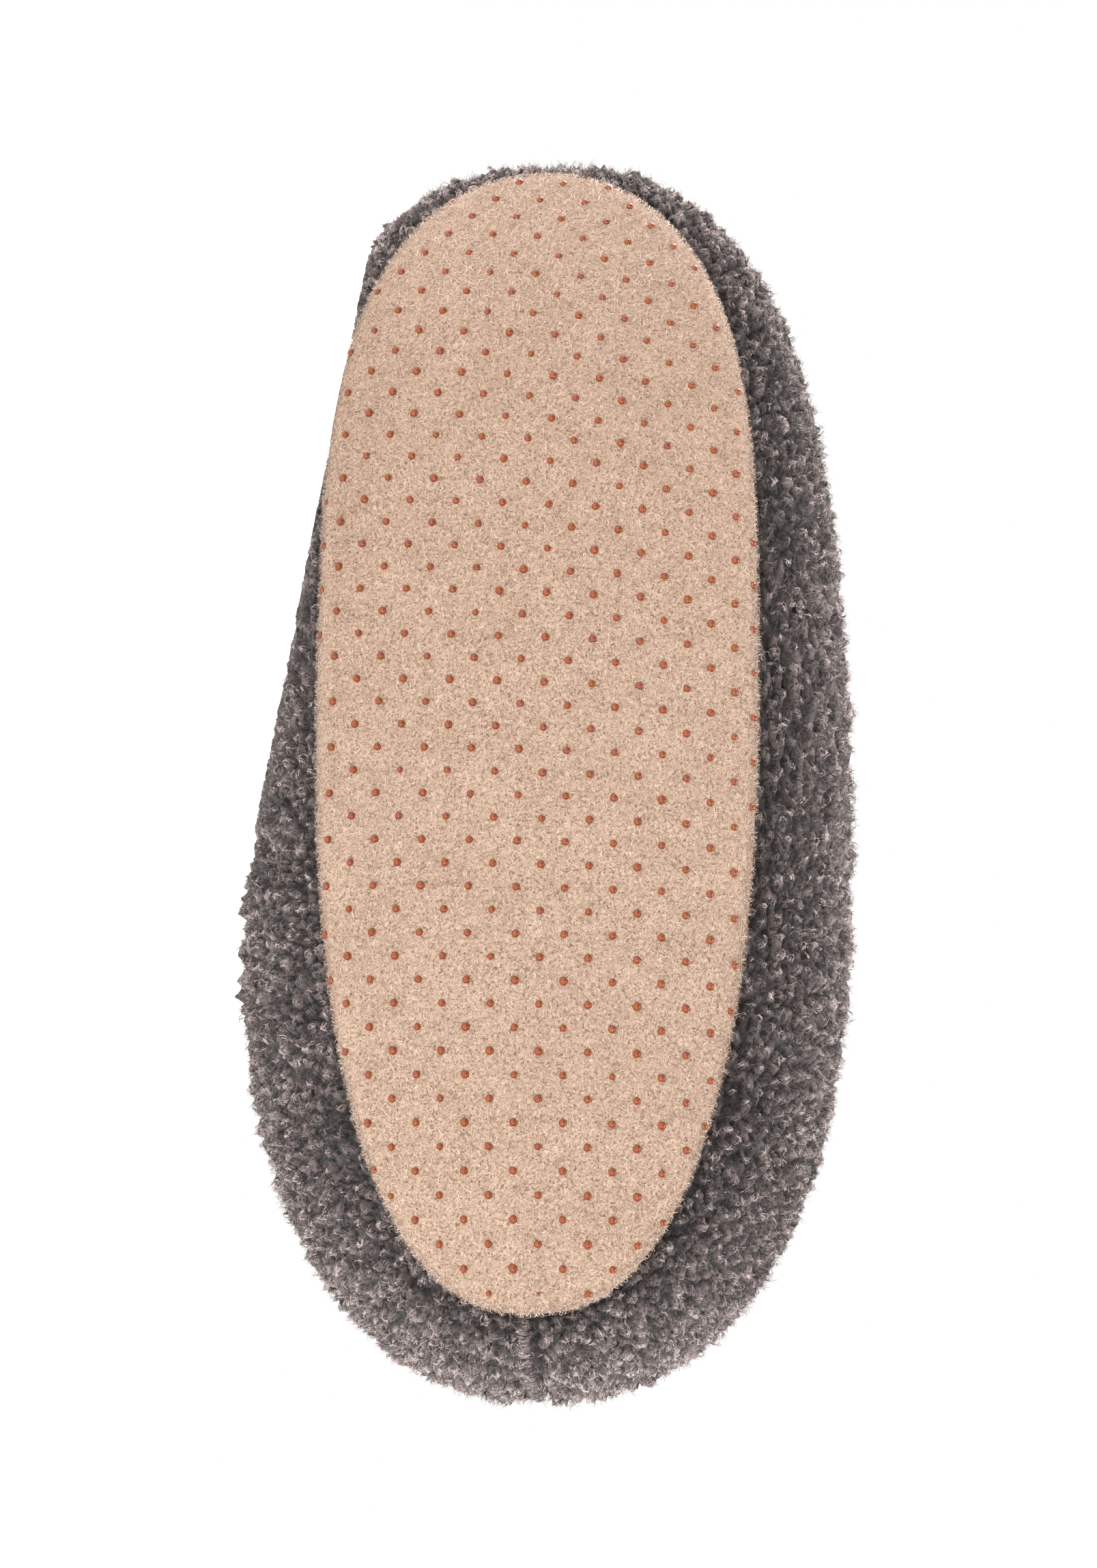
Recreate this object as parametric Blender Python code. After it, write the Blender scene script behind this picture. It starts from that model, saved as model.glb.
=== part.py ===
"""Slipper sock lying on its side: a padded fabric sole, a hollow curled-fleece upper and an insole.

Everything is modelled in the slipper's own frame, in metres: x runs from heel to toe, y across, z up from the
tread. One empty then lays the finished slipper on its side, with the sole edge and the upper on the floor.
"""

import math
from collections import namedtuple

import bmesh
import bpy
import numpy as np
from mathutils import Matrix, Vector

MM = 0.001

# Sole: a fabric pad, crowned underneath like a pillow, that curls up at the toe.
SOLE_LENGTH = 253 * MM
SOLE_HALF_WIDTH = 46.4 * MM
SOLE_WIDEST_X = 145 * MM
SOLE_THICKNESS = 8.5 * MM
SOLE_CROWN = 3.0 * MM
SOLE_EDGE_ROLL = 3.5 * MM
SOLE_TOP_ROLL = 1.5 * MM
TOE_SPRING_HEIGHT = 9 * MM
TOE_SPRING_START_X = 162 * MM
TOE_SPRING_POWER = 2.2

# Fleece wall, from its knitted back to the mean height of its curls, and the seam up the heel.
WALL = 9 * MM
PRESSED_WALL = 4.5 * MM
HEEL_SEAM_DEPTH = 1.1 * MM
HEEL_SEAM_HALF_WIDTH = 2.4 * MM
HEEL_SEAM_REACH = 60 * MM

INSOLE_THICKNESS = 3.5 * MM
INSOLE_EDGE_ROLL = 1.2 * MM
INSOLE_CLEARANCE = 1.2 * MM
GAP = 0.3 * MM

# How it lies: the sole leans forward off the vertical, and the toe dips towards the floor.
LEAN = math.radians(10.5)
TOE_DIP = math.radians(9.0)
PRESS_BLEND = 4 * MM

# Mesh fineness.
POINTS_AROUND = 72
LOOPS_PER_LEVEL = 2
ROLL_STEPS = 3
CROWN_RINGS = (0.75, 0.5, 0.25)
SHARP_ANGLE = math.radians(50)

# A plan outline is two half superellipses that meet at the widest point. "long" shapes it along x and "wide"
# across, each for the toe half and the heel half; 2 is an ellipse and more is squarer.
Outline = namedtuple("Outline", "heel_x toe_x widest_x half_width toe_long toe_wide heel_long heel_wide")

SOLE_OUTLINE = Outline(
    heel_x=0,
    toe_x=SOLE_LENGTH,
    widest_x=SOLE_WIDEST_X,
    half_width=SOLE_HALF_WIDTH,
    toe_long=3.1,
    toe_wide=2.05,
    heel_long=2.5,
    heel_wide=2.4,
)

# The upper is lofted through these levels, from the seam at the sole to the collar. Sizes are millimetres.
Level = namedtuple(
    "Level",
    "name heel_x toe_x widest_x half_width toe_long toe_wide heel_long heel_wide heel_z side_z toe_z spring",
)
UPPER_LEVELS = (
    Level("seam", 0.7, 252.3, 145, 45.7, 3.10, 2.05, 2.5, 2.4, 8.8, 8.8, 8.8, 1.0),
    Level("roll", -5.5, 258.5, 138, 55.0, 2.95, 2.20, 2.6, 2.2, 13, 13, 13, 0.9),
    Level("flare", -10.5, 263.0, 126, 62.8, 2.80, 2.45, 2.8, 2.1, 25, 23, 24, 0.5),
    Level("bulge", -13.0, 264.0, 115, 66.7, 2.65, 2.65, 2.8, 2.2, 41, 38, 38, 0.0),
    Level("shoulder", -13.0, 259.0, 113, 65.6, 2.65, 2.60, 2.8, 2.2, 55, 50, 49, 0.0),
    Level("toe_top", -11.0, 243, 108, 62.5, 2.60, 2.50, 2.7, 2.2, 66, 60, 57.5, 0.0),
    Level("vamp", -7.5, 208, 98, 57.5, 2.50, 2.40, 2.6, 2.2, 75, 69, 65, 0.0),
    Level("instep", -2.5, 171, 86, 51.0, 2.40, 2.30, 2.4, 2.2, 83, 77, 75, 0.0),
    Level("collar", 4.0, 140, 72, 44.0, 2.30, 2.20, 2.3, 2.2, 90, 84, 86.5, 0.0),
)


def clear_scene():
    for obj in list(bpy.data.objects):
        bpy.data.objects.remove(obj)


def make_material(name, colour, roughness):
    material = bpy.data.materials.new(name)
    material.use_nodes = True
    shader = material.node_tree.nodes["Principled BSDF"]
    shader.inputs["Base Color"].default_value = (*colour, 1)
    shader.inputs["Roughness"].default_value = roughness
    shader.inputs["Metallic"].default_value = 0
    return material


def signed_power(value, power):
    return math.copysign(abs(value) ** power, value)


def outline_point(outline, angle):
    """Plan point (x, y) of an outline; angle 0 is the toe tip and pi the heel."""
    along = math.cos(angle)
    if along >= 0:
        reach, long_power, wide_power = outline.toe_x - outline.widest_x, outline.toe_long, outline.toe_wide
    else:
        reach, long_power, wide_power = outline.widest_x - outline.heel_x, outline.heel_long, outline.heel_wide
    x = outline.widest_x + reach * signed_power(along, 2 / long_power)
    y = outline.half_width * signed_power(math.sin(angle), 2 / wide_power)
    return x, y


def inset_outline(outline, inset):
    """The same outline drawn in by a distance on every side."""
    return outline._replace(
        heel_x=outline.heel_x + inset,
        toe_x=outline.toe_x - inset,
        half_width=outline.half_width - inset,
    )


def toe_spring(x):
    """Height of the tread above the floor plane of a standing slipper."""
    share = (x - TOE_SPRING_START_X) / (SOLE_LENGTH - TOE_SPRING_START_X)
    return TOE_SPRING_HEIGHT * max(share, 0) ** TOE_SPRING_POWER


def even_angles():
    return [2 * math.pi * step / POINTS_AROUND for step in range(POINTS_AROUND)]


def seam_angles():
    """Even angles round the upper, with closer ones either side of the heel seam."""
    step = 2 * math.pi / POINTS_AROUND
    extra = [math.pi + side * share * step for side in (-1, 1) for share in (0.25, 0.5)]
    return sorted(even_angles() + extra)


def skin(mesh, loops, closed_tube):
    """Faces between neighbouring loops of equal length, each loop running round the piece."""
    rings = [[mesh.verts.new(point) for point in loop] for loop in loops]
    pairs = list(zip(rings, rings[1:]))
    if closed_tube:
        pairs.append((rings[-1], rings[0]))
    count = len(rings[0])
    for lower, upper in pairs:
        for here in range(count):
            there = (here + 1) % count
            mesh.faces.new((lower[here], lower[there], upper[there], upper[here]))
    return rings


def cap_ladder(mesh, ring):
    """Closes a ring that is mirrored about y = 0 with rungs from side to side."""
    count = len(ring)
    for rung in range(count // 2):
        corners = [ring[rung], ring[rung + 1], ring[count - rung - 1], ring[(count - rung) % count]]
        mesh.faces.new(list(dict.fromkeys(corners)))


def add_object(name, mesh, material, collection, parent):
    bmesh.ops.recalc_face_normals(mesh, faces=mesh.faces)
    data = bpy.data.meshes.new(name)
    mesh.to_mesh(data)
    mesh.free()
    data.materials.append(material)
    data.shade_smooth()
    data.set_sharp_from_angle(angle=SHARP_ANGLE)
    obj = bpy.data.objects.new(name, data)
    obj.parent = parent
    collection.objects.link(obj)
    return obj


def crown_rings(outline, low, crown):
    """Outlines and heights of a crowned underside, from near its middle out towards its edge."""
    rings = []
    for share in CROWN_RINGS:
        height = low + crown * (1 - share) ** 2
        rings.append((inset_outline(outline, share * outline.half_width), height))
    return rings


def rolled_rings(outline, low, high, low_roll, high_roll):
    """Outlines and heights up the side of a pad with rounded lower and upper edges."""
    rings = []
    for radius, centre, start in ((low_roll, low + low_roll, -1), (high_roll, high - high_roll, 0)):
        for step in range(ROLL_STEPS + 1):
            angle = (start + step / ROLL_STEPS) * math.pi / 2
            inset = radius * (1 - math.cos(angle))
            rings.append((inset_outline(outline, inset), centre + radius * math.sin(angle)))
    return rings


def build_pad(name, rings, material, collection, parent):
    """A closed pad through level rings, curled up along the toe spring."""
    loops = []
    for outline, height in rings:
        plan = [outline_point(outline, angle) for angle in even_angles()]
        loops.append([(x, y, height + toe_spring(x)) for x, y in plan])
    mesh = bmesh.new()
    skinned = skin(mesh, loops, closed_tube=False)
    cap_ladder(mesh, skinned[0])
    cap_ladder(mesh, skinned[-1])
    return add_object(name, mesh, material, collection, parent)


def build_outsole(material, collection, parent):
    rings = crown_rings(SOLE_OUTLINE, 0, SOLE_CROWN)
    rings += rolled_rings(SOLE_OUTLINE, SOLE_CROWN, SOLE_THICKNESS, SOLE_EDGE_ROLL, SOLE_TOP_ROLL)
    return build_pad("outsole", rings, material, collection, parent)


def build_insole(material, collection, parent):
    low = SOLE_THICKNESS + GAP
    outline = inset_outline(SOLE_OUTLINE, WALL + INSOLE_CLEARANCE)
    rings = rolled_rings(outline, low, low + INSOLE_THICKNESS, INSOLE_EDGE_ROLL, INSOLE_EDGE_ROLL)
    return build_pad("insole", rings, material, collection, parent)


def smooth_rows(rows, steps):
    """Rows of numbers with more rows between them, on a Catmull-Rom curve through the given ones."""
    table = np.array(rows, float)
    padded = np.vstack([2 * table[0] - table[1], table, 2 * table[-1] - table[-2]])
    made = []
    for before, start, end, after in zip(padded, padded[1:], padded[2:], padded[3:]):
        for step in range(steps):
            t = step / steps
            bend = (end - before) * t
            bend += (2 * before - 5 * start + 4 * end - after) * t**2
            bend += (3 * start - before - 3 * end + after) * t**3
            made.append(start + bend / 2)
    made.append(table[-1])
    return made


def level_loop(row, angles):
    """Points of one level of the fleece's outer face."""
    level = Level("", *row)
    outline = Outline(*(size * MM for size in level[1:5]), *level[5:9])
    points = []
    for angle in angles:
        x, y = outline_point(outline, angle)
        end_z = level.toe_z if math.cos(angle) >= 0 else level.heel_z
        rise = (end_z - level.side_z) * math.cos(angle) ** 2
        points.append((x, y, (level.side_z + rise) * MM + level.spring * toe_spring(x)))
    return np.array(points)


def surface_normals(grid):
    """Outward unit normals of a grid of loops."""
    around = np.roll(grid, -1, axis=1) - np.roll(grid, 1, axis=1)
    upward = np.gradient(grid, axis=0)
    normals = np.cross(around, upward)
    return normals / np.linalg.norm(normals, axis=2, keepdims=True)


def heel_groove(points):
    """Depth of the sewn valley up the back of the heel, at each point of a grid."""
    x, y = points[..., 0], points[..., 1]
    valley = HEEL_SEAM_DEPTH * np.exp(-2 * (y / HEEL_SEAM_HALF_WIDTH) ** 2)
    return np.where(x < HEEL_SEAM_REACH, valley, 0)


def floor_normal():
    """The floor's up direction, in the slipper's frame."""
    return Vector((-math.tan(TOE_DIP), 1, math.tan(LEAN))).normalized()


def press(points, floor_height, clearance):
    """Moves points that would sink into the floor up to a clearance above it, with a soft run-out."""
    up = np.array(floor_normal())
    depth = points @ up - floor_height - clearance
    eased = np.where(depth > -PRESS_BLEND, (depth + PRESS_BLEND) ** 2 / (4 * PRESS_BLEND), 0)
    lifted = np.where(depth > PRESS_BLEND, depth, eased)
    return points + (lifted - depth)[..., None] * up


def collar_hem(outer, inner, normals):
    """Loops of the round hem that joins the wall's outer face to its inner face at the collar."""
    around = np.roll(outer, -1, axis=0) - np.roll(outer, 1, axis=0)
    crown = np.cross(normals, around)
    crown = crown / np.linalg.norm(crown, axis=1, keepdims=True)
    middle = (outer + inner) / 2
    turns = [math.pi * step / (ROLL_STEPS + 1) for step in range(1, ROLL_STEPS + 1)]
    return [middle + (outer - middle) * math.cos(turn) + crown * WALL / 2 * math.sin(turn) for turn in turns]


def wall_foot(angles):
    """The wall's lowest inner loop: it stands on the sole's top, one wall inside the seam."""
    inset = SOLE_HALF_WIDTH - UPPER_LEVELS[0].half_width * MM + WALL
    plan = [outline_point(inset_outline(SOLE_OUTLINE, inset), angle) for angle in angles]
    return [(x, y, SOLE_THICKNESS + GAP + toe_spring(x)) for x, y in plan]


def fleece_loops(floor_height):
    """Loops of the upper's closed wall: up the outside, over the collar and down the inside."""
    angles = seam_angles()
    rows = smooth_rows([level[1:] for level in UPPER_LEVELS], LOOPS_PER_LEVEL)
    smooth = np.array([level_loop(row, angles) for row in rows])
    normals = surface_normals(smooth)
    inner = smooth - WALL * normals
    outer = smooth - heel_groove(smooth)[..., None] * normals
    hem = collar_hem(outer[-1], inner[-1], normals[-1])
    outside = press(np.concatenate([outer, hem]), floor_height, 0)
    inside = press(inner[:1:-1], floor_height, PRESSED_WALL)
    return [*outside, *inside, wall_foot(angles)]


def build_upper(material, collection, parent, floor_height):
    mesh = bmesh.new()
    skin(mesh, fleece_loops(floor_height), closed_tube=True)
    return add_object("upper", mesh, material, collection, parent)


def lying_rotation():
    """Turns the slipper's frame so that the floor is level, the toe points to -X and the sole faces -Y."""
    up = floor_normal()
    toe = Vector((1, 0, 0))
    heelward = -(toe - up * toe.dot(up)).normalized()
    depth = up.cross(heelward)
    return Matrix((heelward, depth, up)).to_4x4()


def lay_down(carrier, objects):
    """Rotates the carrier, then puts the middle of the box's underside at the origin."""
    turn = lying_rotation()
    corners = [turn @ vertex.co for obj in objects for vertex in obj.data.vertices]
    low = Vector(min(corner[axis] for corner in corners) for axis in range(3))
    high = Vector(max(corner[axis] for corner in corners) for axis in range(3))
    middle = (low + high) / 2
    carrier.matrix_world = Matrix.Translation((-middle.x, -middle.y, -low.z)) @ turn


def main():
    clear_scene()
    collection = bpy.data.collections.new("slipper_sock")
    bpy.context.scene.collection.children.link(collection)
    carrier = bpy.data.objects.new("slipper_lying", None)
    collection.objects.link(carrier)

    tan_fabric = make_material("brushed_tan_fabric", (0.58, 0.39, 0.26), 0.95)
    grey_fleece = make_material("grey_curled_fleece", (0.16, 0.145, 0.14), 1.0)
    grey_felt = make_material("grey_felt", (0.22, 0.20, 0.19), 1.0)

    outsole = build_outsole(tan_fabric, collection, carrier)
    floor_height = min(floor_normal().dot(vertex.co) for vertex in outsole.data.vertices)
    upper = build_upper(grey_fleece, collection, carrier, floor_height)
    insole = build_insole(grey_felt, collection, carrier)
    lay_down(carrier, [outsole, upper, insole])


main()
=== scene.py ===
"""Looks of a fleece slipper sock lying on its side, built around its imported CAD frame."""

import math

import bpy
import numpy as np
from mathutils import Matrix, Vector, noise
from mathutils.kdtree import KDTree


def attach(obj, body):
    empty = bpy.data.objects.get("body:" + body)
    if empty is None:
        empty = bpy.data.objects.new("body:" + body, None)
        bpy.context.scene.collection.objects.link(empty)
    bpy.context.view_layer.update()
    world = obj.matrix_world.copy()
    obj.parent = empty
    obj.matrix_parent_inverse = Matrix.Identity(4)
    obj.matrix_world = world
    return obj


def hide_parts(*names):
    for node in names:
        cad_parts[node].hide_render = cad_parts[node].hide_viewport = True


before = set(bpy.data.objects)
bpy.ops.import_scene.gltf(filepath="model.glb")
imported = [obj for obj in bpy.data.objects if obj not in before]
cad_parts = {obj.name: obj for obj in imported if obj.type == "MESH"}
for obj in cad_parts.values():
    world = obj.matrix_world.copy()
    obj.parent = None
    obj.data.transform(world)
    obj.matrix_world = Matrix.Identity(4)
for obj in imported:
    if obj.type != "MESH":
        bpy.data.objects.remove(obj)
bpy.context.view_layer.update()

# The sole: a foam pad covered with brushed tan microfibre, cut to the outline of the foot.
# Its rim rolls over softly to the seam with the fleece, and faint knit courses cross the nap.
LEAN = math.radians(10.5)
TOE_DIP = math.radians(9.0)
SOLE_SMOOTHING = 2
MERGE_DISTANCE = 1e-5
QUAD_LIMIT = math.radians(60)
FLOOR_CLEARANCE = 0.0002
MIX_INPUTS = (0, 6, 7)
MIX_RESULT = 2
WAVE_RADIANS = 20.0
PATCH_FINENESS = 0.06
SOLE_FIBRE_SCALE = 1500.0
FLECK_SCALE = 1900.0
COURSE_PITCH = 0.0013
WHITE = (1.0, 1.0, 1.0, 1.0)
RIM_SHADE = (0.54, 0.48, 0.44, 1.0)
TOE_PAINTED_SHADE = (0.93, 0.90, 0.88, 1.0)
TAN_SHADE = (0.234, 0.151, 0.101, 1.0)
TAN_LIGHT = (0.519, 0.377, 0.292, 1.0)
DULL_TINT = (0.93, 0.92, 0.91, 1.0)
CLEAR_TINT = (1.03, 1.03, 1.02, 1.0)
COURSE_TINT = (1.02, 1.02, 1.02, 1.0)
NO_FLECK = (0.0, 0.0, 0.0, 1.0)
FULL_FLECK = (0.85, 0.85, 0.85, 1.0)
FLECK_BROWN = (0.13, 0.075, 0.045, 1.0)
BACKING_GREY = (0.14, 0.122, 0.115, 1.0)
CLOTH_STOPS = ((0.39, TAN_SHADE), (0.60, TAN_LIGHT))
PATCH_STOPS = ((0.3, DULL_TINT), (0.7, CLEAR_TINT))
COURSE_STOPS = ((0.0, DULL_TINT), (0.5, COURSE_TINT))
FLECK_STOPS = ((0.56, NO_FLECK), (0.66, FULL_FLECK))
TOE_STOPS = ((0.4, WHITE), (1.0, TOE_PAINTED_SHADE))
RIM_STOPS = ((0.15, WHITE), (0.85, RIM_SHADE))


def add_object(name, data):
    """A new object in the scene."""
    made = bpy.data.objects.new(name, data)
    bpy.context.scene.collection.objects.link(made)
    return made


def soft_copy(node_name, piece_name, levels):
    """A piece with a CAD node's own shape, as quads, with its facets smoothed away."""
    piece = add_object(piece_name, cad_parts[node_name].data.copy())
    bpy.ops.object.select_all(action="DESELECT")
    bpy.context.view_layer.objects.active = piece
    piece.select_set(True)
    bpy.ops.mesh.customdata_custom_splitnormals_clear()
    bpy.ops.object.mode_set(mode="EDIT")
    bpy.ops.mesh.select_all(action="SELECT")
    bpy.ops.mesh.remove_doubles(threshold=MERGE_DISTANCE)
    bpy.ops.mesh.tris_convert_to_quads(face_threshold=QUAD_LIMIT, shape_threshold=QUAD_LIMIT)
    bpy.ops.object.mode_set(mode="OBJECT")
    smoothing = piece.modifiers.new("smoothing", "SUBSURF")
    smoothing.levels = levels
    smoothing.render_levels = levels
    bpy.ops.object.modifier_apply(modifier=smoothing.name)
    bpy.ops.object.shade_smooth()
    piece.data.materials.clear()
    return piece


def vertex_array(mesh, field):
    """One vector of every vertex, such as its place or normal, as rows."""
    values = np.empty(len(mesh.vertices) * 3)
    mesh.vertices.foreach_get(field, values)
    return values.reshape(-1, 3)


def keep_above_floor(points):
    """Lift the points that would sink into the floor."""
    points[..., 2] = np.maximum(points[..., 2], FLOOR_CLEARANCE)


def add_attribute(mesh, name, values):
    """A number on every vertex, for a material to read by its name."""
    mesh.attributes.new(name, "FLOAT", "POINT").data.foreach_set("value", values)


def read_attribute(tree, name):
    """The socket of a number that every vertex carries."""
    made = tree.nodes.new("ShaderNodeAttribute")
    made.attribute_name = name
    return made.outputs["Fac"]


def new_material(name):
    """A material, its node tree and its shader."""
    material = bpy.data.materials.new(name)
    material.use_nodes = True
    return material, material.node_tree, material.node_tree.nodes["Principled BSDF"]


def set_inputs(node, **settings):
    """Constants on a node's inputs, which are named with _ for each space."""
    for setting, value in settings.items():
        node.inputs[setting.replace("_", " ")].default_value = value


def texture(tree, kind, vector, **settings):
    """A texture node reading a vector, with its named inputs set."""
    made = tree.nodes.new(kind)
    tree.links.new(vector, made.inputs["Vector"])
    set_inputs(made, **settings)
    return made


def ramp(tree, value, stops):
    """A colour ramp reading a value, with stops of place and colour."""
    made = tree.nodes.new("ShaderNodeValToRGB")
    tree.links.new(value, made.inputs["Fac"])
    while len(made.color_ramp.elements) < len(stops):
        made.color_ramp.elements.new(0.5)
    for element, (place, colour) in zip(made.color_ramp.elements, stops):
        element.position = place
        element.color = colour
    return made.outputs["Color"]


def blend_colours(tree, how, factor, below, above):
    """A colour mix; factor and colours are sockets or plain values."""
    made = tree.nodes.new("ShaderNodeMix")
    made.data_type = "RGBA"
    made.blend_type = how
    for socket, given in zip(MIX_INPUTS, (factor, below, above)):
        if isinstance(given, bpy.types.NodeSocket):
            tree.links.new(given, made.inputs[socket])
        else:
            made.inputs[socket].default_value = given
    return made.outputs[MIX_RESULT]


def raise_bump(tree, shader, height, strength, depth):
    """A bump of a given depth on the shader's normal."""
    bump = tree.nodes.new("ShaderNodeBump")
    set_inputs(bump, Strength=strength, Distance=depth)
    tree.links.new(height, bump.inputs["Height"])
    tree.links.new(bump.outputs["Normal"], shader.inputs["Normal"])


floor_up = Vector((-math.tan(TOE_DIP), 1.0, math.tan(LEAN))).normalized()
heelward = (floor_up.x * floor_up - Vector((1.0, 0.0, 0.0))).normalized()
lying = Matrix((heelward, floor_up.cross(heelward), floor_up))
turn = np.array(lying)
sole_in_shoe = vertex_array(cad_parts["outsole"].data, "co") @ turn
sole_low, sole_high = sole_in_shoe.min(axis=0), sole_in_shoe.max(axis=0)
shoe_origin = np.array((sole_low[0], (sole_low[1] + sole_high[1]) / 2, sole_low[2]))


def to_shoe(points):
    """Points of the lying frame in the shoe's own: x from heel to toe, y across, z up from the tread."""
    return points @ turn - shoe_origin


def to_floor(points):
    """Points of the shoe's own frame as they lie on the floor."""
    return (points + shoe_origin) @ turn.T


grain = bpy.data.node_groups.new("brushed_fibres", "ShaderNodeTree")
grain.interface.new_socket("Vector", in_out="INPUT", socket_type="NodeSocketVector")
grain.interface.new_socket("Fibre Scale", in_out="INPUT", socket_type="NodeSocketFloat")
grain.interface.new_socket("Tone", in_out="OUTPUT", socket_type="NodeSocketFloat")
grain.interface.new_socket("Patches", in_out="OUTPUT", socket_type="NodeSocketFloat")
grain_in = grain.nodes.new("NodeGroupInput")
grain_out = grain.nodes.new("NodeGroupOutput")
grain_vector = grain_in.outputs["Vector"]
grain_scale = grain_in.outputs["Fibre Scale"]
fine = texture(grain, "ShaderNodeTexNoise", grain_vector, Detail=6.0, Roughness=0.7, Distortion=1.6)
grain.links.new(grain_scale, fine.inputs["Scale"])
wider = grain.nodes.new("ShaderNodeMath")
wider.operation = "MULTIPLY"
wider.inputs[1].default_value = PATCH_FINENESS
grain.links.new(grain_scale, wider.inputs[0])
broad = texture(grain, "ShaderNodeTexNoise", grain_vector, Detail=3.0, Roughness=0.55)
grain.links.new(wider.outputs[0], broad.inputs["Scale"])
grain.links.new(fine.outputs["Fac"], grain_out.inputs["Tone"])
grain.links.new(broad.outputs["Fac"], grain_out.inputs["Patches"])


def fibre_grain(tree, fibre_scale):
    """The brushed fibre pattern in the shoe's own frame, and the vector that it reads."""
    place = tree.nodes.new("ShaderNodeTexCoord")
    along = tree.nodes.new("ShaderNodeMapping")
    set_inputs(along, Rotation=lying.transposed().to_euler())
    tree.links.new(place.outputs["Object"], along.inputs["Vector"])
    made = tree.nodes.new("ShaderNodeGroup")
    made.node_tree = grain
    set_inputs(made, Fibre_Scale=fibre_scale)
    tree.links.new(along.outputs["Vector"], made.inputs["Vector"])
    return made, along.outputs["Vector"]


sole = soft_copy("outsole", "sole_cover", SOLE_SMOOTHING)
rolled = 1.0 + (vertex_array(sole.data, "normal") @ turn)[:, 2]
sole_length = sole_high[0] - sole_low[0]
add_attribute(sole.data, "inner", np.clip(rolled - 1.0, 0.0, 1.0))
add_attribute(sole.data, "rim", np.clip(rolled, 0.0, 1.0))
add_attribute(sole.data, "toeward", to_shoe(vertex_array(sole.data, "co"))[:, 0] / sole_length)
sole_fabric, tree, shader = new_material("brushed_tan_fabric")
nap_grain, shoe_vector = fibre_grain(tree, SOLE_FIBRE_SCALE)
courses = texture(
    tree,
    "ShaderNodeTexWave",
    shoe_vector,
    Scale=math.tau / (WAVE_RADIANS * COURSE_PITCH),
    Distortion=9.0,
    Detail=4.0,
    Detail_Scale=2.0,
)
flecks = texture(tree, "ShaderNodeTexNoise", shoe_vector, Scale=FLECK_SCALE, Detail=2.0, Roughness=0.6)
cloth_colour = ramp(tree, nap_grain.outputs["Tone"], CLOTH_STOPS)
patch_shade = ramp(tree, nap_grain.outputs["Patches"], PATCH_STOPS)
course_shade = ramp(tree, courses.outputs["Fac"], COURSE_STOPS)
fleck_mask = ramp(tree, flecks.outputs["Fac"], FLECK_STOPS)
# Painted shade: the cloth is a little darker and warmer towards the toe.
toe_shade = ramp(tree, read_attribute(tree, "toeward"), TOE_STOPS)
# Painted shade: the cloth is darker where its rim rolls over towards the fleece.
rim_shade = ramp(tree, read_attribute(tree, "rim"), RIM_STOPS)
shaded = blend_colours(tree, "MULTIPLY", 1.0, cloth_colour, patch_shade)
coursed = blend_colours(tree, "MULTIPLY", 1.0, shaded, course_shade)
flecked = blend_colours(tree, "MIX", fleck_mask, coursed, FLECK_BROWN)
toed = blend_colours(tree, "MULTIPLY", 1.0, flecked, toe_shade)
rimmed = blend_colours(tree, "MULTIPLY", 1.0, toed, rim_shade)
backed = blend_colours(tree, "MIX", read_attribute(tree, "inner"), rimmed, BACKING_GREY)
tree.links.new(backed, shader.inputs["Base Color"])
set_inputs(
    shader,
    Roughness=0.95,
    Specular_IOR_Level=0.15,
    Sheen_Weight=0.25,
    Sheen_Roughness=0.5,
    Sheen_Tint=(1.0, 0.92, 0.84, 1.0),
)
raise_bump(tree, shader, nap_grain.outputs["Tone"], strength=0.7, depth=0.0005)
sole.data.materials.append(sole_fabric)
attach(sole, "root")
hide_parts("outsole")

# The nap: short tan fibres that the brush raised from the sole's fabric, lying every way.
# They root in the cloth and stand up by a third of a millimetre, or by up to one at the rim and toe.
NAP_COUNT = 38000
RIM_NAP_COUNT = 7000
NAP_SEED = 7
TREAD_SLOPE = -0.05
RIM_SLOPE = -0.3
RIM_SLOPE_RANGE = 0.4
NAP_LENGTH = (0.0006, 0.0013)
NAP_LIFT = (0.00008, 0.00034)
NAP_CURL = 0.35
NAP_HALF_WIDTH = 0.000042
NAP_TIP_WIDTH = 0.3
NAP_TIP_LIFT = 0.8
NAP_TOE_START = 0.205
NAP_TOE_REACH = 0.035
NAP_TOE_PAINTED_LIGHT = 0.2
LOOSE_AT_RIM = 0.8
LOOSE_AT_TOE = 0.5
LOOSE_LIFT = 1.6
NAP_PALE = (0.66, 0.536, 0.437, 1.0)
NAP_STOPS = ((0.0, FLECK_BROWN), (0.14, TAN_SHADE), (0.6, TAN_LIGHT), (1.0, NAP_PALE))


def unit(vectors):
    """Vectors scaled to length one."""
    return vectors / np.maximum(np.linalg.norm(vectors, axis=-1, keepdims=True), 1e-12)


def scatter(mesh, allowed, count, dice):
    """Random points on a mesh's allowed faces, with the smooth normal at each."""
    mesh.calc_loop_triangles()
    corners = np.empty(len(mesh.loop_triangles) * 3, dtype=np.int64)
    mesh.loop_triangles.foreach_get("vertices", corners)
    faces = np.empty(len(mesh.loop_triangles), dtype=np.int64)
    mesh.loop_triangles.foreach_get("polygon_index", faces)
    corners = corners.reshape(-1, 3)[allowed[faces]]
    places = vertex_array(mesh, "co")[corners]
    normals = vertex_array(mesh, "normal")[corners]
    areas = np.linalg.norm(np.cross(places[:, 1] - places[:, 0], places[:, 2] - places[:, 0]), axis=1)
    chosen = dice.choice(len(areas), count, p=areas / areas.sum())
    root = np.sqrt(dice.random(count))
    side = dice.random(count)
    weights = np.stack((1 - root, root * (1 - side), root * side), axis=1)[:, :, None]
    points = (places[chosen] * weights).sum(axis=1)
    return points, unit((normals[chosen] * weights).sum(axis=1))


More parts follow.
